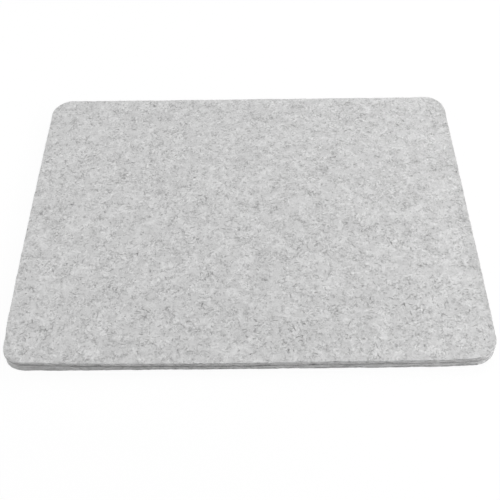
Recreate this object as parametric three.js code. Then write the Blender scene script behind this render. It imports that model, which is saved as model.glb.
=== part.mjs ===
// Wool pressing mat: two plies of pressed wool felt, laid face to face and held
// together by a thin adhesive web that stops short of the cut edge.
// Millimetres, +Z up. The origin is the centre of the face that the mat lies on.
import * as THREE from "three";

// Outline, die-cut through both plies at once
const MAT_WIDTH = 432; // along X
const MAT_DEPTH = 343; // along Y
const CORNER_RADIUS = 22;

// Felt plies
const PLY_THICKNESS = 6.1;
const ARRIS_DEPTH = 0.8; // how far the cut edge draws in at each face of a ply
const ARRIS_HEIGHT = 1.5; // the height over which it draws in

// Adhesive web between the plies
const WEB_THICKNESS = 0.4;
const WEB_SETBACK = 5; // from the cut edge, so that the seam stays open there
const WEB_CLEARANCE = 0.05; // between the web and the felt on each side of it

// Facets
const CORNER_SEGMENTS = 16; // in each corner's quarter turn, an even number
const ARRIS_SEGMENTS = 4; // across each rounded arris

// Finishes
const FELT = { color: 0xc7c7c7, roughness: 0.95, metalness: 0 };
const ADHESIVE = { color: 0xd9d4c6, roughness: 0.55, metalness: 0 };

// The mat's outline, drawn in by an even inset. Its corners stay concentric with
// the mat's own, until an inset deeper than their radius leaves them sharp.
function matOutline(inset) {
  const radius = Math.max(CORNER_RADIUS - inset, 0);
  const right = MAT_WIDTH / 2 - inset;
  const back = MAT_DEPTH / 2 - inset;
  const quarter = Math.PI / 2;
  const corners = [
    [right - radius, back - radius],
    [-right + radius, back - radius],
    [-right + radius, -back + radius],
    [right - radius, -back + radius],
  ];
  const outline = new THREE.Shape();
  corners.forEach(([x, y], turn) => {
    outline.absarc(x, y, radius, turn * quarter, (turn + 1) * quarter);
  });
  return outline;
}

// One felt ply, with its lower face at the given height. The bevel makes the
// soft rounding of the cut edge, inside the outline.
function feltPly(name, height) {
  const geometry = new THREE.ExtrudeGeometry(matOutline(0), {
    depth: PLY_THICKNESS - 2 * ARRIS_HEIGHT,
    bevelThickness: ARRIS_HEIGHT,
    bevelSize: ARRIS_DEPTH,
    bevelOffset: -ARRIS_DEPTH,
    bevelSegments: ARRIS_SEGMENTS,
    curveSegments: CORNER_SEGMENTS / 2, // an arc is drawn in twice as many
  });
  const ply = new THREE.Mesh(geometry, new THREE.MeshStandardMaterial(FELT));
  ply.name = name;
  ply.position.z = height + ARRIS_HEIGHT; // the extrusion starts above its lower bevel
  return ply;
}

// The adhesive web, with its lower face at the given height.
function adhesiveWeb(name, height) {
  const geometry = new THREE.ExtrudeGeometry(matOutline(WEB_SETBACK), {
    depth: WEB_THICKNESS,
    bevelEnabled: false,
    curveSegments: CORNER_SEGMENTS / 2, // an arc is drawn in twice as many
  });
  const web = new THREE.Mesh(geometry, new THREE.MeshStandardMaterial(ADHESIVE));
  web.name = name;
  web.position.z = height;
  return web;
}

const seam = WEB_CLEARANCE + WEB_THICKNESS + WEB_CLEARANCE; // the gap between the plies

const mat = new THREE.Group();
mat.add(
  feltPly("lower_ply", 0),
  adhesiveWeb("bond_web", PLY_THICKNESS + WEB_CLEARANCE),
  feltPly("upper_ply", PLY_THICKNESS + seam),
);

export default mat;
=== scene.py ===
"""A wool pressing mat: two plies of heather-grey felt with soft cut edges, the adhesive web between them and
their loose fibres."""

import math

import bpy
import numpy as np
from mathutils import Matrix, Vector


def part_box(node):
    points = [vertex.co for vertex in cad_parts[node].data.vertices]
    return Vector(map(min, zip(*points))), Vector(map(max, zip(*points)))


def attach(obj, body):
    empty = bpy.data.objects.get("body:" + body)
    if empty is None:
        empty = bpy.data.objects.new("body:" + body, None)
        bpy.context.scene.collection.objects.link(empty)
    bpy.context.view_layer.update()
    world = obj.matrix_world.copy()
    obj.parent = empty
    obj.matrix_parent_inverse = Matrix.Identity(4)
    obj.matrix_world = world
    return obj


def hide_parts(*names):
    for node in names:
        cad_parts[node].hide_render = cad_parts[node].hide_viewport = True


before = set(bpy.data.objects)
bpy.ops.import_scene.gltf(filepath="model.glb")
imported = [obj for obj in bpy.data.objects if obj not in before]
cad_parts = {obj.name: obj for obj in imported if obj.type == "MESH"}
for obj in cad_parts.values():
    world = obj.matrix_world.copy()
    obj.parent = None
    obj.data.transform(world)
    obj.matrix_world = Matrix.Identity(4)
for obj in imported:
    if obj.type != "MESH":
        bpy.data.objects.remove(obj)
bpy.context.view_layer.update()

MM = 0.001
WHITE = (1, 1, 1, 1)

# Camera
CAMERA_PLACE = Vector((5.5, -563.5, 633.7)) * MM
CAMERA_TURN = math.radians(0.495)
CAMERA_TILT = math.radians(39.725)
CAMERA_ROLL = math.radians(-0.973)
CAMERA_LENS = 61.12
SENSOR = 36.0

# World and floor
WORLD_LIGHT = 0.28
FLOOR_REACH = 4.0
FLOOR_PAINT = 0.8  # how much light the floor gives back to the mat
FLOOR_GLOW = 0.93  # how little of the mat's shadow shows on the floor
FLOOR_FADE = (500, 1500)  # distances in millimetres between which the floor turns plain white

# Lamps: place and size in metres, and power in watts
LAMPS = {
    "overhead": ((0.55, 0.95, 1.0), 1.0, 9.8),
    "left": ((-1.1, 0.0, 0.55), 0.8, 8.2),
    "right": ((1.05, -0.35, 0.5), 0.8, 10.6),
}

# Cut edge of the plies
CORNER_RADIUS = 22 * MM
FACE_STEP = 2 * MM  # between the points of an outer face
OUTER_ARRIS = (0.4 * MM, 0.5 * MM)  # how far the cut edge draws in at an outer face, and over what height
SEAM_ARRIS = (0.8 * MM, 0.8 * MM)  # and at the seam
ARRIS_RINGS = 4
WALL_RINGS = 8
FACE_RIM = 1.5 * MM  # between an arris and the face's own points
LEAST_LENGTH = 1e-9  # so that no point inside the core divides by 0

# Where the outline is cut inside an even one, in millimetres: place, reach and depth. It is fuller where the
# depth is negative.
OUTLINE_TRIMS = (
    ((-216, -148), 14, 1.1),
    ((-209, -165), 12, -1.2),
    ((-210, -165), 5, -0.4),
    ((-192, -172), 16, 0.4),
    ((160, -172), 45, 0.25),
    ((191, -172), 12, 0.45),
    ((205, -168), 20, 0.9),
    ((-209, 165), 16, -0.6),
    ((203, 169), 12, -1.2),
)
LEFT_BOW = 1.3 * MM  # how far the left side bows out between its corners
BOW_OUTSIDE = 0.4  # share of the bow that lies outside a straight side

# Random fields
WAVE_COUNT = 32  # plane waves in a field
WAVE_SPREAD = (0.6, 1.7)  # of their lengths about the field's own

# Unevenness of the felt: random waves, each given by its height and its length in millimetres
FACE_RELIEF = ((0.05, 70), (0.05, 22), (0.04, 9), (0.03, 5))
OUTLINE_WAVER = ((0.04, 45), (0.02, 14))
EDGE_STRATA = ((0.06, 24), (0.04, 10))
ARRIS_WEAR = ((0.20, 20), (0.25, 7), (0.25, 4))
SEAM_WANDER = ((0.15, 60), (0.10, 24), (0.06, 9))
SEAM_GAPE = ((0.12, 24), (0.08, 9))

# Sizes of the unevenness, and how far in from the cut edge or from the seam each kind reaches
STRATA_THINNESS = 10  # the strata of the cut edge are this much thinner than they are long
MEAN_SINK = 0.15 * MM  # how far the faces lie inside the ply
LEAST_SINK = 0.02 * MM
WAVER_REACH = 8 * MM
STRATA_REACH = 2 * MM
MEAN_WEAR = 0.15 * MM
WEAR_REACH = 2.2 * MM
LEAST_WEAR = 0.35  # of the front edge's wear, on the other sides
FRONT_REACH = 60 * MM  # how far from the front edge its wear carries on
WEAR_INWARD = 0.2  # shares of the wear that take the arris in and down
WEAR_DOWN = 0.9
UPPER_WEAR = 1.0
LOWER_WEAR = 0.3  # of the upper ply's wear
MEAN_GAPE = 0.28 * MM  # how far the seam opens at the cut edge
GAPE_REACH = 2.5 * MM
SEAM_REACH = 5 * MM  # the seam wanders and opens within this distance of the cut edge

# Where a ply's tone changes
CUT_REACH = 0.3 * MM  # how far past the arris the tone of the cut edge carries on
SEAM_SHADE_REACH = 0.8 * MM  # how far from the seam painted shade darkens the cut edge
SIDE_REACH = 12 * MM  # how far in from its two sides the face is darker
LEFT_SHARE = 0.3  # of the right side's darker tone, on the left side

# How the felt is thicker or thinner along its front edge, in millimetres: place and reach along X, and how
# far the upper face and the seam rise there, and the seam opens
FACE_SWELLS = ((-215, 45, 2.0), (-35, 100, -1.8), (0, 400, -0.9), (158, 50, -0.75), (215, 60, 0.5))
SEAM_SWELLS = ((-215, 50, 3.8), (-35, 90, -1.2), (-12, 22, -0.8), (0, 400, -0.3), (100, 40, -0.7))
SEAM_OPENINGS = ((-185, 40, 0.15), (-115, 60, 0.20), (-126, 20, 0.35), (-30, 60, 0.12), (120, 90, -0.14))
SWELL_DEPTH = 55 * MM  # how far in from the front edge these reach

# Flat layouts
SEAM_SHRINK = 0.2  # of a ply's hidden seam face
LAYOUT_GAP = 0.01  # between the outer face and the seam face
STRAND_MARGIN = 0.1  # of a strand in its own square

# Adhesive web
WEB_STEP = 4 * MM
WEB_WAVER = ((0.5, 25), (0.3, 8))

# Seeds, and what is added to a ply's seed for each of its random fields
LOWER_SEED, UPPER_SEED, SEAM_SEED, WEB_SEED = 11, 51, 90, 701
WEAR_FIELD, GAPE_FIELD, WAVER_FIELD, STRATA_FIELD, SINK_FIELD = 0, 10, 20, 30, 40
DARK_SEED, NEP_SEED, PALE_SEED = 301, 305, 302
LOWER_EDGE_SEED, UPPER_EDGE_SEED, ARRIS_SEED = 303, 304, 306
GATHER_SEEDS = 1000  # the seed of the places where fibres gather is drawn below this

# How many loose fibres there are: locks and single fibres on the face, neps, fibres that lie along a cut edge
# and that stand out of it, and pale locks on the arris, whose pale tone is a painted highlight
DARK_COUNTS = (700, 4500)
NEP_COUNT = 900
PALE_COUNTS = (700, 5200)
EDGE_COUNTS = (2500, 3500)
ARRIS_COUNT = 160

# Shape of every loose fibre
FIBRE_STEPS = 6  # points along a fibre
STRAND_SIDES = 3
STRAND_TURNS = (90, 210, 330)  # of its edges about its own line, in degrees
UPRIGHT_NUDGE = 1e-6  # gives a fibre that stands upright a side of its own
TIP_SINK = 0.06 * MM

# Fibres on the face
FIBRE_MARGIN = 4 * MM  # how far they keep from the outline
FIBRE_TRIES = 8  # places tried for each
GATHER_MEAN = 0.3  # share of those that are taken
GATHER_WAVES = ((0.25, 30), (0.35, 11))  # how that share changes: strength, and length in millimetres
FIBRE_BEND = 1.2  # spread of the angle in radians that a fibre turns through from end to end
FIBRE_TWIST = 3.2  # spread of the change of that turn along it
TWIST_LEVEL = 0.08  # keeps the twist from turning the whole fibre
FACE_FIBRE_LIFT = 0.12 * MM
FACE_FIBRE_RADIUS = (0.05 * MM, 0.10 * MM)
LOCK_STRANDS = 4
LOCK_LENGTH = (3 * MM, 8 * MM)
LOCK_SPREAD = (0.16 * MM, 0.14 * MM, 0.10 * MM)  # of its strands: even, growing from the middle and bowed
SINGLE_LENGTH = (2 * MM, 5 * MM)
NEP_STRANDS = 6  # a nep is a small knot of fibres
NEP_LENGTH = (0.8 * MM, 1.8 * MM)
NEP_SPREAD = 0.3 * MM
NEP_RADIUS = (0.07 * MM, 0.13 * MM)

# Fibres on the cut edges
EDGE_FIBRE_RADIUS = (0.04 * MM, 0.09 * MM)
EDGE_FIBRE_LIFT = (-0.02 * MM, 0.10 * MM)
EDGE_FIBRE_SLANT = 0.7  # spread, in rings
EDGE_FIBRE_STRIDES = (1, 3)  # points of a ring from one step of a fibre to the next, below the second number
EDGE_FIBRE_CLEARANCE = 2 * EDGE_FIBRE_RADIUS[1]  # over the floor
FUZZ_LENGTH = (0.3 * MM, 1.1 * MM)
FUZZ_RADIUS = (0.02 * MM, 0.04 * MM)
FUZZ_SPREAD = 0.6  # of its direction
FUZZ_BEND = 0.3
FUZZ_ROOT = 0.1  # share of its length inside the felt
FUZZ_CLEARANCE = 3 * FUZZ_RADIUS[1]  # over the floor

# Locks on the upper arris, pale as a painted highlight along it
ARRIS_STRANDS = 6
ARRIS_SHIFTS = (-2, 3)  # points of a ring from a lock's start to its strand's, below the second number
ARRIS_FIBRE_INSET = (-0.15 * MM, 0.5 * MM)  # from the edge of the upper face
ARRIS_FIBRE_SLANT = 0.15 * MM
ARRIS_FIBRE_LIFT = 0.25 * MM
ARRIS_FIBRE_RADIUS = (0.07 * MM, 0.12 * MM)

# Felt tones: the felt's own, and how strong each mark on it is
FELT_TONE = 0.606
MOTTLE = 0.08  # slow change from place to place
SPECK = -0.146  # short dark flecks
PATCH = 0.16  # how much the flecks gather
STROKE = -0.09  # longer dark fibres
PALE = 0.125  # pale fibres
GRAIN = 0.26
BUSY = (0.3, 1.7)  # how strong the flecks and the grain are, from the quietest places to the busiest
STRATA = 0.45  # layers of fibre on the cut edge
CUT_EDGE_LIGHT = 0.03  # painted light: the cut edge made lighter, standing in for light on it
SEAM_SHADE = -0.08  # painted shade along the seam, where the plies part
SIDE = -0.05  # the face along its right side

# Felt noises: size in millimetres, detail and roughness
NOISE_MEAN = 0.5
BEND_NOISE = (6.0, 1.0, 0.5)
MOTTLE_NOISE = (26.0, 3.0, 0.7)
BUSY_NOISE = (7.0, 2.0, 0.6)
PATCH_NOISE = (11.0, 3.0, 0.7)
CRUMB_NOISE = (2.0, 2.0, 0.7)
GRAIN_NOISE = (2.2, 1.0, 0.5)
STRATA_NOISE = (12.0, 2.0, 0.6)
BUMP_NOISE = (0.8, 3.0, 0.6)
BEND_REACH = (5.0, 5.0, 1.0)  # how widely the bend spreads a place, in millimetres

# Ranges of a noise over which a mark comes in
BUSY_RANGE = (0.35, 0.65)
SPECK_RANGE = (0.42, 0.70)
STROKE_RANGE = (0.50, 0.75)
PALE_RANGE = (0.48, 0.75)

# Fibres in the felt's pattern: sizes of a bundle, and of a fibre across and along, in millimetres
STROKE_SIZES = (18.0, 1.0, 5.0)
PALE_SIZES = (16.0, 0.9, 4.5)
ACROSS_NOISE = (1.0, 0.5)  # detail and roughness of the field whose level lines the fibres follow
ALONG_NOISE = (0.0, 0.5)  # and of the field along them
STREAK_NOISE = (1.0, 2.0, 0.6)

# Shifts in millimetres that keep the patterns from lining up
BUSY_SHIFT = (43.0, 29.0, 11.0)
STROKE_SHIFT = (31.0, 17.0, 5.0)
PALE_SHIFT = (71.0, 37.0, 15.0)
ALONG_SHIFT = (57.0, 91.0, 23.0)

# Web tones
NET_SCALE = 0.5  # meshes of the net in a millimetre
NET_RANGE = (0.05, 0.2)  # distances from the middle of a strand, in meshes
NET_TONES = (0.62, 0.42)  # of the strands and between them
NET_NOISE = (1.0, 3.0, 0.6)
NET_MOTTLE = 0.1

# Tones of the loose fibres
NEP_TONE = (0.29, 0.45)
DARK_FIBRE = (0.28, 0.45)
PALE_FIBRE = (0.80, 0.95)
EDGE_FIBRE = (0.25, 0.85)
# The arris locks' pale tone is a painted highlight along the arris.
ARRIS_HIGHLIGHT_TONE = (0.78, 0.88)
FIBRE_NOISE = (5.0, 2.0, 0.7)
FIBRE_RANGE = (0.3, 0.7)

# Surfaces: roughness and specular level, and the strength and distance of bumps
FELT_SURFACE = (0.95, 0.1)
FELT_BUMP = (0.4, 0.3 * MM)
WEB_SURFACE = (0.6, 0.4)
WEB_BUMP = (0.5, 0.1 * MM)
FIBRE_SURFACE = (0.8, 0.2)


# Random fields

def ripple(points, wavelength, seed):
    """A smooth random field of unit variance: plane waves of about one wavelength, in random directions."""
    rng = np.random.default_rng(seed)
    direction = rng.normal(size=(WAVE_COUNT, points.shape[1]))
    direction /= np.linalg.norm(direction, axis=1, keepdims=True)
    wave_number = 2 * math.pi / (wavelength * rng.uniform(*WAVE_SPREAD, (WAVE_COUNT, 1)))
    phase = rng.uniform(0, 2 * math.pi, WAVE_COUNT)
    return np.cos(points @ (direction * wave_number).T + phase).sum(axis=1) * math.sqrt(2 / WAVE_COUNT)


def unevenness(points, terms, seed):
    """The sum of some random waves."""
    numbered = enumerate(terms)
    return sum(height * MM * ripple(points, length * MM, seed + i) for i, (height, length) in numbered)


def fade(distance, reach):
    """1 at no distance, easing to 0 at the reach."""
    t = np.clip(1 - distance / reach, 0, 1)
    return t * t * (3 - 2 * t)


# Outline

def half_size(name):
    low, high = (np.array(corner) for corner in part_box(name))
    return (high[:2] - low[:2]) / 2


def rounded_grid(half, inset, counts):
    """A grid of points that fills the mat's outline, drawn in by an inset. Each corner square is squeezed
    into its quarter disc, so that the grid's border lies on the outline."""
    radius = CORNER_RADIUS - inset
    reach = half - inset
    lines = [np.linspace(-r, r, count + 1) for r, count in zip(reach, counts)]
    points = np.stack(np.meshgrid(*lines), axis=-1)
    over = np.abs(points) - (reach - radius)
    corner = (over > 0).all(axis=-1)
    squeeze = over[corner].max(axis=-1) / np.linalg.norm(over[corner], axis=-1)
    points[corner] = np.sign(points[corner]) * (reach - radius + over[corner] * squeeze[:, None])
    return points


def edge_frame(points, half):
    """The way out in the mat's plane, and the distance in from the outline, up to the corner radius."""
    from_core = points - np.clip(points, CORNER_RADIUS - half, half - CORNER_RADIUS)
    length = np.linalg.norm(from_core, axis=1)
    outward = from_core / np.maximum(length, LEAST_LENGTH)[:, None]
    return outward, CORNER_RADIUS - length


def on_outline(points, half, inset):
    """The points moved straight out or in to the outline, drawn in by an inset."""
    outward, now = edge_frame(points, half)
    return points + outward * (now - inset)[:, None]


def outline_trim(points):
    """How far the outline is cut inside an even one."""
    trim = 0
    for place, reach, depth in OUTLINE_TRIMS:
        squared = ((points - np.array(place) * MM) ** 2).sum(axis=1)
        trim = trim + depth * MM * np.exp(-squared / (reach * MM) ** 2)
    return trim


def left_bow(points, outward, half):
    """How far the left side stands outside a straight line. Its corners lie inside the line."""
    along = points[:, 1] / half[1]
    return LEFT_BOW * (BOW_OUTSIDE - along ** 2) * np.clip(-outward[:, 0], 0, 1)


def grid_border(shape):
    """The indices of a grid's border, once round, anticlockwise from its front left corner."""
    ids = np.arange(shape[0] * shape[1]).reshape(shape[:2])
    return np.concatenate([ids[0, :-1], ids[:-1, -1], ids[-1, :0:-1], ids[:0:-1, 0]])


def doubled(loop):
    """A closed loop's points, with one more halfway between each two."""
    return np.stack([loop, (loop + np.roll(loop, -1, axis=0)) / 2], axis=1).reshape(-1, 2)


# Meshes

def grid_faces(shape, first):
    ids = first + np.arange(shape[0] * shape[1]).reshape(shape[:2])
    quads = np.stack([ids[:-1, :-1], ids[:-1, 1:], ids[1:, 1:], ids[1:, :-1]], axis=-1)
    return quads.reshape(-1, 4).tolist()


def band_faces(upper, lower):
    """The faces between two closed loops, of which either may have twice as many points as the other."""
    next_upper, next_lower = np.roll(upper, -1), np.roll(lower, -1)
    if len(upper) == len(lower):
        faces = [(upper, lower, next_lower, next_upper)]
    elif len(upper) < len(lower):
        start, middle, end = lower[::2], lower[1::2], next_lower[1::2]
        faces = [(upper, start, middle), (upper, middle, next_upper), (next_upper, middle, end)]
    else:
        start, middle, end = upper[::2], upper[1::2], next_upper[1::2]
        faces = [(start, lower, middle), (middle, lower, next_lower), (middle, next_lower, end)]
    return [face for group in faces for face in np.stack(group, axis=-1).tolist()]


def add_piece(name, points, faces, material):
    mesh = bpy.data.meshes.new(name)
    mesh.from_pydata(points.tolist(), [], faces)
    mesh.polygons.foreach_set("use_smooth", np.ones(len(mesh.polygons), bool))
    mesh.materials.append(material)
    mesh.update()
    piece = bpy.data.objects.new(name, mesh)
    bpy.context.scene.collection.objects.link(piece)
    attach(piece, "root")
    return piece


def add_values(piece, name, values):
    """A number for each point of a piece, for its material to read."""
    piece.data.attributes.new(name, "FLOAT", "POINT").data.foreach_set("value", values.astype(np.float32))


def add_map(piece, corners):
    """The piece's flat layout, with a place for each corner of each face."""
    piece.data.uv_layers.new(name="OFBake").data.foreach_set("uv", corners.astype(np.float32).ravel())


# Felt plies

def front_swell(flat, half, rows):
    """The sum of some smooth swells along the front edge."""
    inward = np.exp(-(((flat[:, 1] + half[1]) / SWELL_DEPTH) ** 2))
    along = sum(rise * np.exp(-(((flat[:, 0] / MM - place) / reach) ** 2)) for place, reach, rise in rows)
    return along * inward * MM


def face_sink(flat, seed):
    """How far a face lies inside its ply."""
    return np.clip(MEAN_SINK + unevenness(flat, FACE_RELIEF, seed + SINK_FIELD), LEAST_SINK, None)


def arris_section(inset, height):
    """A quarter round from a face to the cut edge: how far in from the outline, and how far from the face."""
    turns = np.linspace(0, math.pi / 2, ARRIS_RINGS + 1)
    return [(inset * (1 - math.sin(t)), height * (1 - math.cos(t))) for t in turns]


def edge_section(thickness):
    """The cut edge from the outer face to the seam: how far in from the outline, and from the outer face."""
    wall = np.linspace(OUTER_ARRIS[1], thickness - SEAM_ARRIS[1], WALL_RINGS + 2)[1:-1]
    section = arris_section(*OUTER_ARRIS)
    section += [(0.0, drop) for drop in wall]
    section += [(inset, thickness - height) for inset, height in reversed(arris_section(*SEAM_ARRIS))]
    return section


def make_ply(name, facing, wear, seed, material):
    """One felt ply over its CAD solid. Its outer face is up where facing is 1, and down where it is -1.
    Returns the points of the rings down its cut edge."""
    low, high = (np.array(corner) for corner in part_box(name))
    half = half_size(name)
    thickness = high[2] - low[2]
    outer = high[2] if facing > 0 else low[2]

    # Points of the outer face, the rings down the cut edge and the seam face, which is half as fine
    counts = [4 * round(h / (2 * FACE_STEP)) for h in half]
    outer_grid = rounded_grid(half, OUTER_ARRIS[0] + FACE_RIM, counts)
    seam_grid = rounded_grid(half, SEAM_ARRIS[0] + 2 * FACE_RIM, [count // 2 for count in counts])
    outer_border, seam_border = grid_border(outer_grid.shape), grid_border(seam_grid.shape)
    outer_points, seam_points = outer_grid.reshape(-1, 2), seam_grid.reshape(-1, 2)
    border = outer_points[outer_border]
    dense = doubled(border)
    section = edge_section(thickness)
    layers = [(outer_points, 0.0)]
    layers += [(on_outline(dense, half, inset), drop) for inset, drop in section]
    layers += [(on_outline(border, half, SEAM_ARRIS[0] + FACE_RIM), thickness), (seam_points, thickness)]
    flat = np.concatenate([points for points, _ in layers])
    drop = np.concatenate([np.full(len(points), depth) for points, depth in layers])

    # Faces
    starts = np.cumsum([0] + [len(points) for points, _ in layers])
    loops = [outer_border]
    loops += [np.arange(start, stop) for start, stop in zip(starts[1:-2], starts[2:-1])]
    loops.append(starts[-2] + seam_border)
    faces = grid_faces(outer_grid.shape, 0)
    for upper, lower in zip(loops[:-1], loops[1:]):
        faces += band_faces(upper, lower)
    seam_faces = [face[::-1] for face in grid_faces(seam_grid.shape, starts[-2])]
    faces += seam_faces
    if facing < 0:
        faces = [face[::-1] for face in faces]

    # Unevenness
    outward, inset = edge_frame(flat, half)
    to_seam = drop / thickness  # 0 at the outer face, 1 at the seam
    height = outer - facing * drop
    layered = np.column_stack([flat, STRATA_THINNESS * height])
    near_arris = fade(np.hypot(inset, drop), WEAR_REACH)
    to_front = LEAST_WEAR + (1 - LEAST_WEAR) * fade(flat[:, 1] + half[1], FRONT_REACH)
    worn = np.clip(MEAN_WEAR + unevenness(flat, ARRIS_WEAR, seed + WEAR_FIELD), 0, None)
    worn = worn * wear * near_arris * to_front
    gape = MEAN_GAPE + front_swell(flat, half, SEAM_OPENINGS) + unevenness(flat, SEAM_GAPE, seed + GAPE_FIELD)
    shift = unevenness(flat, OUTLINE_WAVER, seed + WAVER_FIELD) * fade(inset, WAVER_REACH)
    shift += unevenness(layered, EDGE_STRATA, seed + STRATA_FIELD) * fade(inset, STRATA_REACH)
    shift += (left_bow(flat, outward, half) - outline_trim(flat)) * (1 - inset / CORNER_RADIUS)
    shift -= WEAR_INWARD * worn
    height -= facing * WEAR_DOWN * worn
    height += facing * np.clip(gape, 0, None) * fade(thickness - drop, GAPE_REACH) * fade(inset, SEAM_REACH)
    height -= facing * (1 - 2 * to_seam) * face_sink(flat, seed)
    height += front_swell(flat, half, SEAM_SWELLS) * to_seam
    if facing > 0:
        height += front_swell(flat, half, FACE_SWELLS) * (1 - to_seam)
    height += unevenness(flat, SEAM_WANDER, SEAM_SEED) * to_seam * fade(inset, SEAM_REACH)
    points = np.column_stack([flat + outward * shift[:, None], height])

    ply = add_piece(name + "_felt", points, faces, material)
    # cut marks the cut edge, for its strata and for the painted light on it
    cut = fade(inset, OUTER_ARRIS[0] + CUT_REACH)
    side = np.maximum(outward[:, 0], -LEFT_SHARE * outward[:, 0]) * fade(inset, SIDE_REACH) * (1 - cut)
    add_values(ply, "cut", cut)
    # painted shade in the seam's recess on the cut edge
    add_values(ply, "seam_shade", fade(thickness - drop, SEAM_SHADE_REACH))
    add_values(ply, "side", side)
    add_map(ply, ply_layout(flat, layers, section, half, faces, len(seam_faces)))
    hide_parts(name)
    return points[starts[1]:starts[1 + len(section)]].reshape(len(section), -1, 3)


def ply_layout(flat, layers, section, half, faces, seam_count):
    """A ply laid flat: its outer face with the cut edge folded out all round it, and a small copy of the seam
    face above that."""
    steps = np.hypot(*np.diff(np.array(section), axis=0).T)
    down = np.concatenate([[0.0], np.cumsum(steps)])
    down = np.concatenate([down, down[-1] + FACE_RIM * np.array((1, 2))])
    unfolded = [layers[0][0]]
    unfolded += [on_outline(points, half, OUTER_ARRIS[0] - d) for (points, _), d in zip(layers[1:], down)]
    unfolded = np.concatenate(unfolded)
    reach = half + down[-1]
    scale = 1 / (2 * reach[0])
    corner_points = np.concatenate(faces)
    corners = (unfolded[corner_points] + reach) * scale
    on_seam = np.arange(len(corners)) >= len(corners) - 4 * seam_count
    small = (flat[corner_points[on_seam]] + half) * scale * SEAM_SHRINK
    corners[on_seam] = small + (0, 2 * reach[1] * scale + LAYOUT_GAP)
    return corners


# Adhesive web

def make_web(material):
    """The web over its CAD solid, following the plies on both sides of it."""
    low, high = (np.array(corner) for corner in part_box("bond_web"))
    half = half_size("lower_ply")
    setback = half[0] - high[0]
    grid = rounded_grid(half, setback, [2 * round(h / WEB_STEP) for h in half])
    flat = grid.reshape(-1, 2)
    border = grid_border(grid.shape)
    outward, inset = edge_frame(flat, half)
    shift = unevenness(flat, WEB_WAVER, WEB_SEED) * fade(inset - setback, WEB_STEP)
    flat = flat + outward * shift[:, None]
    swell = front_swell(flat, half, SEAM_SWELLS)
    upper = np.column_stack([flat, high[2] + swell])
    lower = np.column_stack([flat, low[2] + swell])
    count = len(flat)
    faces = grid_faces(grid.shape, 0)
    faces += band_faces(border, border + count)
    faces += [face[::-1] for face in grid_faces(grid.shape, count)]
    web = add_piece("bond_web_sheet", np.concatenate([upper, lower]), faces, material)
    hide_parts("bond_web")


# Materials

class Nodes:
    """Short calls for a material's node tree."""

    def __init__(self, name):
        self.material = bpy.data.materials.new(name)
        self.material.use_nodes = True
        self.tree = self.material.node_tree
        self.tree.nodes.clear()
        self.output = self.tree.nodes.new("ShaderNodeOutputMaterial")

    def link(self, value, socket):
        if isinstance(value, bpy.types.NodeSocket):
            self.tree.links.new(value, socket)
        else:
            socket.default_value = value

    def place(self, stretch=1.0):
        """The place on the object in millimetres, with the height stretched."""
        coordinates = self.tree.nodes.new("ShaderNodeTexCoord")
        return self.vector("MULTIPLY", coordinates.outputs["Object"], (1 / MM, 1 / MM, stretch / MM))

    def operate(self, kind, operation, values):
        node = self.tree.nodes.new(kind)
        node.operation = operation
        for value, socket in zip(values, node.inputs):
            self.link(value, socket)
        return node.outputs

    def math(self, operation, *values):
        return self.operate("ShaderNodeMath", operation, values)[0]

    def vector(self, operation, *values):
        return self.operate("ShaderNodeVectorMath", operation, values)[0]

    def length(self, vector):
        return self.operate("ShaderNodeVectorMath", "LENGTH", (vector,))["Value"]

    def noise(self, place, size, detail, roughness, output=0):
        node = self.tree.nodes.new("ShaderNodeTexNoise")
        self.link(place, node.inputs["Vector"])
        node.inputs["Scale"].default_value = 1 / size
        node.inputs["Detail"].default_value = detail
        node.inputs["Roughness"].default_value = roughness
        return node.outputs[output]

    def swing(self, noise):
        """A noise about its mean."""
        return self.math("SUBTRACT", noise, NOISE_MEAN)

    def ease(self, value, low, high, out_low=0.0, out_high=1.0):
        node = self.tree.nodes.new("ShaderNodeMapRange")
        node.interpolation_type = "SMOOTHSTEP"
        for number, socket in zip((value, low, high, out_low, out_high), node.inputs):
            self.link(number, socket)
        return node.outputs[0]

    def streaks(self, place, shift, bundle, width, length):
        """Noise drawn out along the level lines of a slow random field, as fibres lie in matted bundles."""
        moved = self.vector("ADD", place, shift)
        across = self.noise(moved, bundle, *ACROSS_NOISE)
        along = self.noise(self.vector("ADD", moved, ALONG_SHIFT), bundle, *ALONG_NOISE)
        route = self.tree.nodes.new("ShaderNodeCombineXYZ")
        self.link(self.math("MULTIPLY", across, bundle / width), route.inputs[0])
        self.link(self.math("MULTIPLY", along, bundle / length), route.inputs[1])
        return self.noise(route.outputs[0], *STREAK_NOISE)

    def value(self, name):
        """A number that the piece holds for each of its points."""
        node = self.tree.nodes.new("ShaderNodeAttribute")
        node.attribute_name = name
        return node.outputs["Fac"]

    def bump(self, height, strength, distance):
        node = self.tree.nodes.new("ShaderNodeBump")
        node.inputs["Strength"].default_value = strength
        node.inputs["Distance"].default_value = distance
        self.link(height, node.inputs["Height"])
        return node.outputs[0]

    def finish(self, tone, roughness, specular, bump=None):
        """A grey surface of the given tone, which ends the material."""
        colour = self.tree.nodes.new("ShaderNodeCombineColor")
        for socket in colour.inputs:
            self.link(tone, socket)
        shader = self.tree.nodes.new("ShaderNodeBsdfPrincipled")
        self.link(colour.outputs[0], shader.inputs["Base Color"])
        shader.inputs["Roughness"].default_value = roughness
        shader.inputs["Specular IOR Level"].default_value = specular
        if bump is not None:
            self.link(bump, shader.inputs["Normal"])
        self.link(shader.outputs[0], self.output.inputs["Surface"])
        return self.material


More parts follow.
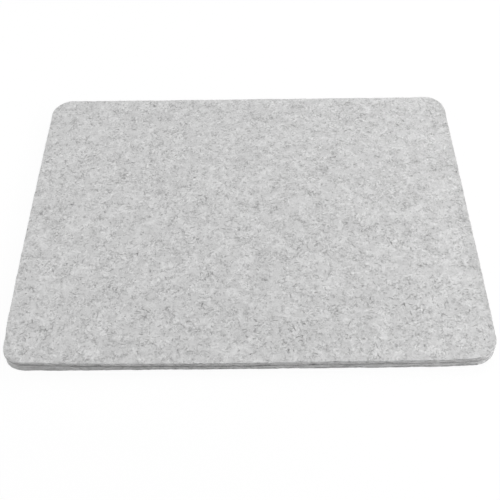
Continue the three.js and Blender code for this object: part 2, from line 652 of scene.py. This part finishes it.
def felt_material():
    n = Nodes("heather_felt")
    place = n.place(STRATA_THINNESS)
    bend = n.vector("SUBTRACT", n.noise(place, *BEND_NOISE, output=1), (NOISE_MEAN,) * 3)
    bent = n.vector("ADD", place, n.vector("MULTIPLY", bend, BEND_REACH))

    mottle = n.swing(n.noise(place, *MOTTLE_NOISE))
    busy = n.ease(n.noise(n.vector("ADD", place, BUSY_SHIFT), *BUSY_NOISE), *BUSY_RANGE, *BUSY)
    patch = n.swing(n.noise(bent, *PATCH_NOISE))
    crumb = n.noise(bent, *CRUMB_NOISE)
    speck = n.ease(n.math("MULTIPLY_ADD", patch, PATCH, crumb), *SPECK_RANGE)
    speck = n.math("MULTIPLY", speck, busy)
    stroke = n.ease(n.streaks(place, STROKE_SHIFT, *STROKE_SIZES), *STROKE_RANGE)
    pale = n.ease(n.streaks(place, PALE_SHIFT, *PALE_SIZES), *PALE_RANGE)
    grain = n.math("MULTIPLY", n.swing(n.noise(bent, *GRAIN_NOISE)), busy)
    cut = n.value("cut")
    strata = n.math("MULTIPLY", n.swing(n.noise(place, *STRATA_NOISE)), cut)

    tone = FELT_TONE
    marks = ((mottle, MOTTLE), (grain, GRAIN), (speck, SPECK), (stroke, STROKE), (pale, PALE))
    # The cut edge's lighter tone is painted light.
    # The seam's mark is painted shade in its recess.
    marks += ((strata, STRATA), (cut, CUT_EDGE_LIGHT), (n.value("seam_shade"), SEAM_SHADE), (n.value("side"), SIDE))
    for mark, strength in marks:
        tone = n.math("MULTIPLY_ADD", mark, strength, tone)
    bump = n.bump(n.noise(bent, *BUMP_NOISE), *FELT_BUMP)
    return n.finish(tone, *FELT_SURFACE, bump)


def web_material():
    """A net of fine adhesive strands."""
    n = Nodes("adhesive_web")
    place = n.place()
    net = n.tree.nodes.new("ShaderNodeTexVoronoi")
    net.feature = "DISTANCE_TO_EDGE"
    n.link(place, net.inputs["Vector"])
    net.inputs["Scale"].default_value = NET_SCALE
    strands = n.ease(net.outputs["Distance"], *NET_RANGE, *NET_TONES)
    tone = n.math("MULTIPLY_ADD", n.noise(place, *NET_NOISE), NET_MOTTLE, strands)
    return n.finish(tone, *WEB_SURFACE, n.bump(strands, *WEB_BUMP))


def fibre_material(name, tones):
    """Fibres whose tone changes slowly from one to the next."""
    n = Nodes(name)
    tone = n.ease(n.noise(n.place(), *FIBRE_NOISE), *FIBRE_RANGE, *tones)
    return n.finish(tone, *FIBRE_SURFACE)


# Loose fibres

def strand_faces(steps):
    """The faces of one strand and the places of their corners in its own square of the flat layout."""
    sides = STRAND_SIDES
    last = sides * (steps - 2) + 1
    across = np.linspace(STRAND_MARGIN, 1 - STRAND_MARGIN, sides + 1)
    along = np.linspace(STRAND_MARGIN, 1 - STRAND_MARGIN, steps)
    faces, corners = [], []
    for k in range(sides):
        m = (k + 1) % sides
        rings = range(1, last - sides, sides)
        faces.append((0, 1 + k, 1 + m))
        faces += [(i + k, i + sides + k, i + sides + m, i + m) for i in rings]
        faces.append((last - sides + k, last, last - sides + m))
        near, far = across[k], across[k + 1]
        corners += [(along[0], near), (along[1], near), (along[1], far)]
        for start, end in zip(along[1:-2], along[2:-1]):
            corners += [(start, near), (end, near), (end, far), (start, far)]
        corners += [(along[-2], near), (along[-1], near), (along[-2], far)]
    return faces, np.array(corners)


def add_strands(name, spines, radius, tones):
    """Closed fibres along rows of points. Each starts and ends in a tip at its first and last point."""
    count, steps = spines.shape[:2]
    along = np.gradient(spines, axis=1)
    along /= np.linalg.norm(along, axis=2, keepdims=True)
    side = np.cross(along, (0.0, 0.0, 1.0)) + UPRIGHT_NUDGE
    side /= np.linalg.norm(side, axis=2, keepdims=True)
    over = np.cross(side, along)
    around = []
    for turn in np.radians(STRAND_TURNS):
        around.append(spines + radius[:, None, None] * (math.cos(turn) * side + math.sin(turn) * over))
    rings = np.stack(around, axis=2)[:, 1:-1].reshape(count, -1, 3)
    points = np.concatenate([spines[:, :1], rings, spines[:, -1:]], axis=1)
    size = points.shape[1]
    faces, corners = strand_faces(steps)
    all_faces = [[first + i for i in face] for first in range(0, count * size, size) for face in faces]
    piece = add_piece(name, points.reshape(-1, 3), all_faces, fibre_material(name, tones))
    squares = math.ceil(math.sqrt(count))
    cells = np.stack(np.divmod(np.arange(count), squares), axis=-1)
    add_map(piece, (cells[:, None] + corners[None]).reshape(-1, 2) / squares)


def scatter(rng, count, half):
    """Places on the face, more of them where fibres gather, clear of the cut edge."""
    places = rng.uniform(-half, half, (FIBRE_TRIES * count, 2))
    seed = rng.integers(GATHER_SEEDS)
    share = GATHER_MEAN
    for i, (strength, length) in enumerate(GATHER_WAVES):
        share = share + strength * ripple(places, length * MM, seed + i)
    _, inset = edge_frame(places, half)
    return places[(inset > FIBRE_MARGIN) & (rng.uniform(size=len(places)) < share)][:count]


def curl(rng, places, length):
    """Curved lines on the face, from their middles."""
    count = len(places)
    heading = rng.uniform(0, 2 * math.pi, (count, 1))
    bend = rng.normal(0, FIBRE_BEND, (count, 1))
    twist = rng.normal(0, FIBRE_TWIST, (count, 1))
    t = np.linspace(-0.5, 0.5, FIBRE_STEPS)
    angle = heading + bend * t + twist * (t * t - TWIST_LEVEL)
    stride = rng.uniform(*length, (count, 1)) / (FIBRE_STEPS - 1)
    path = np.cumsum(np.stack([np.cos(angle), np.sin(angle)], axis=-1) * stride[..., None], axis=1)
    return places[:, None] + path - path.mean(axis=1, keepdims=True)


def lay_on_face(rng, lines, half):
    """Lines on the upper face, with their middles a little above it and their tips in it."""
    t = np.linspace(-1, 1, FIBRE_STEPS)
    flat = lines.reshape(-1, 2)
    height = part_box("upper_ply")[1][2] - face_sink(flat, UPPER_SEED) + front_swell(flat, half, FACE_SWELLS)
    lift = rng.uniform(0, FACE_FIBRE_LIFT, (len(lines), 1)) * (1 - t * t) - TIP_SINK * t * t
    return np.concatenate([lines, (height.reshape(lift.shape) + lift)[..., None]], axis=-1)


def make_face_fibres(name, tones, counts, seed):
    """Fibres that lie on the upper face, in small locks and one by one."""
    rng = np.random.default_rng(seed)
    half = half_size("upper_ply")
    t = np.linspace(-1, 1, FIBRE_STEPS)
    locks, singles = counts
    lines = np.repeat(curl(rng, scatter(rng, locks, half), LOCK_LENGTH), LOCK_STRANDS, axis=0)
    for spread, shape in zip(LOCK_SPREAD, (np.ones(FIBRE_STEPS), t, t * t)):
        lines = lines + rng.normal(0, spread, (len(lines), 1, 2)) * shape[None, :, None]
    lines = np.concatenate([lines, curl(rng, scatter(rng, singles, half), SINGLE_LENGTH)])
    add_strands(name, lay_on_face(rng, lines, half), rng.uniform(*FACE_FIBRE_RADIUS, len(lines)), tones)


def make_neps(name, tones, count, seed):
    """Small knots of fibres on the upper face."""
    rng = np.random.default_rng(seed)
    half = half_size("upper_ply")
    places = np.repeat(scatter(rng, count, half), NEP_STRANDS, axis=0)
    places = places + rng.normal(0, NEP_SPREAD, places.shape)
    lines = curl(rng, places, NEP_LENGTH)
    add_strands(name, lay_on_face(rng, lines, half), rng.uniform(*NEP_RADIUS, len(lines)), tones)


def ring_points(rings, level, index):
    """Places on a cut edge, at a level between its rings and a number of points round them."""
    below = np.minimum(level.astype(int), len(rings) - 2)
    share = (level - below)[..., None]
    index = index % rings.shape[1]
    return rings[below, index] * (1 - share) + rings[below + 1, index] * share


def make_edge_fibres(name, rings, counts, seed):
    """Fibres that lie along a ply's cut edge, and fuzz that stands out of it."""
    rng = np.random.default_rng(seed)
    half = half_size("upper_ply")
    lying, standing = counts
    levels, around = rings.shape[:2]
    lowest = levels - ARRIS_RINGS - 1

    # Fibres along the edge
    t = np.linspace(-1, 1, FIBRE_STEPS)
    level = rng.uniform(1, lowest, (lying, 1)) + rng.normal(0, EDGE_FIBRE_SLANT, (lying, 1)) * t
    first = rng.integers(0, around, (lying, 1))
    index = first + np.arange(FIBRE_STEPS) * rng.integers(*EDGE_FIBRE_STRIDES, (lying, 1))
    spines = ring_points(rings, np.clip(level, 0, levels - 1), index)
    outward, _ = edge_frame(spines[..., :2].reshape(-1, 2), half)
    rise = rng.uniform(*EDGE_FIBRE_LIFT, (lying, 1)) * (1 - t * t) - TIP_SINK * t * t
    spines[..., :2] += outward.reshape(lying, FIBRE_STEPS, 2) * rise[..., None]
    spines[..., 2] = np.maximum(spines[..., 2], EDGE_FIBRE_CLEARANCE)

    # Fuzz
    level = rng.uniform(0, lowest, standing)
    roots = ring_points(rings, level, rng.integers(0, around, standing))
    outward, _ = edge_frame(roots[:, :2], half)
    way = np.column_stack([outward, np.zeros(standing)]) + rng.normal(0, FUZZ_SPREAD, (standing, 3))
    way /= np.linalg.norm(way, axis=1, keepdims=True)
    bend = rng.normal(0, FUZZ_BEND, (standing, 3))
    length = rng.uniform(*FUZZ_LENGTH, standing)[:, None, None]
    s = np.linspace(-FUZZ_ROOT, 1, FIBRE_STEPS)[None, :, None]
    fuzz = roots[:, None] + length * (way[:, None] * s + bend[:, None] * s * s)
    fuzz[..., 2] = np.maximum(fuzz[..., 2], FUZZ_CLEARANCE)

    radius = np.concatenate([rng.uniform(*EDGE_FIBRE_RADIUS, lying), rng.uniform(*FUZZ_RADIUS, standing)])
    add_strands(name, np.concatenate([spines, fuzz]), radius, EDGE_FIBRE)


def make_arris_highlight_fibres(name, rings, count, seed):
    """Small pale locks that lie along the upper arris, their pale tone a painted highlight there."""
    rng = np.random.default_rng(seed)
    half = half_size("upper_ply")
    strands = count * ARRIS_STRANDS
    around = rings.shape[1]
    t = np.linspace(-1, 1, FIBRE_STEPS)
    start = np.repeat(rng.integers(0, around, (count, 1)), ARRIS_STRANDS, axis=0)
    start = start + rng.integers(*ARRIS_SHIFTS, (strands, 1))
    spines = rings[0, (start + np.arange(FIBRE_STEPS)) % around]
    outward, _ = edge_frame(spines[..., :2].reshape(-1, 2), half)
    inward = rng.uniform(*ARRIS_FIBRE_INSET, (strands, 1))
    inward = inward + rng.normal(0, ARRIS_FIBRE_SLANT, (strands, 1)) * t
    spines[..., :2] -= outward.reshape(spines[..., :2].shape) * inward[..., None]
    spines[..., 2] += rng.uniform(0, ARRIS_FIBRE_LIFT, (strands, 1)) * (1 - t * t) - TIP_SINK * t * t
    add_strands(name, spines, rng.uniform(*ARRIS_FIBRE_RADIUS, strands), ARRIS_HIGHLIGHT_TONE)


# Stage

def direct_rays(tree):
    """1 for the rays that show the background itself, to the camera or in a reflection, and 0 for light."""
    path = tree.nodes.new("ShaderNodeLightPath")
    shown = path.outputs["Is Camera Ray"]
    for name in ("Is Glossy Ray", "Is Transmission Ray"):
        either = tree.nodes.new("ShaderNodeMath")
        either.operation = "MAXIMUM"
        tree.links.new(shown, either.inputs[0])
        tree.links.new(path.outputs[name], either.inputs[1])
        shown = either.outputs[0]
    return shown


def mix_shaders(tree, share, first, second):
    """The first shader where the share is 0, and the second where it is 1."""
    mix = tree.nodes.new("ShaderNodeMixShader")
    for source, socket in zip((share, first.outputs[0], second.outputs[0]), mix.inputs):
        tree.links.new(source, socket)
    return mix


def make_floor():
    """A pale floor, of which the camera sees white with the mat's faint shadow."""
    mesh = bpy.data.meshes.new("floor")
    signs = ((-1, -1), (1, -1), (1, 1), (-1, 1))
    mesh.from_pydata([(FLOOR_REACH * x, FLOOR_REACH * y, 0) for x, y in signs], [], [(0, 1, 2, 3)])
    floor = bpy.data.objects.new("floor", mesh)
    bpy.context.scene.collection.objects.link(floor)
    n = Nodes("floor")
    paint = n.tree.nodes.new("ShaderNodeBsdfDiffuse")
    paint.inputs["Color"].default_value = (FLOOR_PAINT, FLOOR_PAINT, FLOOR_PAINT, 1)
    white_paint = n.tree.nodes.new("ShaderNodeBsdfDiffuse")
    white_paint.inputs["Color"].default_value = WHITE
    glow = n.tree.nodes.new("ShaderNodeEmission")
    whiteness = n.ease(n.length(n.place()), *FLOOR_FADE, FLOOR_GLOW, 1.0)
    shown = mix_shaders(n.tree, whiteness, white_paint, glow)
    surface = mix_shaders(n.tree, direct_rays(n.tree), paint, shown)
    n.link(surface.outputs[0], n.output.inputs["Surface"])
    mesh.materials.append(n.material)


def make_world():
    """Even light from all round, in front of a white background."""
    world = bpy.data.worlds.new("studio")
    bpy.context.scene.world = world
    world.use_nodes = True
    tree = world.node_tree
    tree.nodes.clear()
    output = tree.nodes.new("ShaderNodeOutputWorld")
    dim = tree.nodes.new("ShaderNodeBackground")
    dim.inputs["Strength"].default_value = WORLD_LIGHT
    dim.inputs["Color"].default_value = WHITE
    white = tree.nodes.new("ShaderNodeBackground")
    white.inputs["Color"].default_value = WHITE
    surface = mix_shaders(tree, direct_rays(tree), dim, white)
    tree.links.new(surface.outputs[0], output.inputs["Surface"])


def make_light(name, place, size, power):
    """A square soft lamp that faces the mat."""
    lamp = bpy.data.lights.new(name, "AREA")
    lamp.size = size
    lamp.energy = power
    light = bpy.data.objects.new(name, lamp)
    light.location = place
    light.rotation_euler = (-Vector(place)).to_track_quat("-Z", "Y").to_euler()
    bpy.context.scene.collection.objects.link(light)


def make_camera():
    data = bpy.data.cameras.new("camera")
    data.sensor_width = SENSOR
    data.lens = CAMERA_LENS
    camera = bpy.data.objects.new("camera", data)
    turn = Matrix.Rotation(CAMERA_TURN, 4, "Z")
    tilt = Matrix.Rotation(CAMERA_TILT, 4, "X")
    roll = Matrix.Rotation(CAMERA_ROLL, 4, "Z")
    camera.matrix_world = Matrix.Translation(CAMERA_PLACE) @ turn @ tilt @ roll
    bpy.context.scene.collection.objects.link(camera)
    bpy.context.scene.camera = camera


make_camera()
make_floor()
make_world()
for lamp_name, lamp_values in LAMPS.items():
    make_light(lamp_name, *lamp_values)

felt = felt_material()
lower_rings = make_ply("lower_ply", -1, LOWER_WEAR, LOWER_SEED, felt)
upper_rings = make_ply("upper_ply", 1, UPPER_WEAR, UPPER_SEED, felt)
make_web(web_material())
make_face_fibres("dark_fibres", DARK_FIBRE, DARK_COUNTS, DARK_SEED)
make_neps("dark_neps", NEP_TONE, NEP_COUNT, NEP_SEED)
make_face_fibres("pale_fibres", PALE_FIBRE, PALE_COUNTS, PALE_SEED)
make_edge_fibres("lower_edge_fibres", lower_rings, EDGE_COUNTS, LOWER_EDGE_SEED)
make_edge_fibres("upper_edge_fibres", upper_rings, EDGE_COUNTS, UPPER_EDGE_SEED)
make_arris_highlight_fibres("arris_highlight_fibres", upper_rings, ARRIS_COUNT, ARRIS_SEED)

bpy.context.scene.view_settings.view_transform = "Standard"
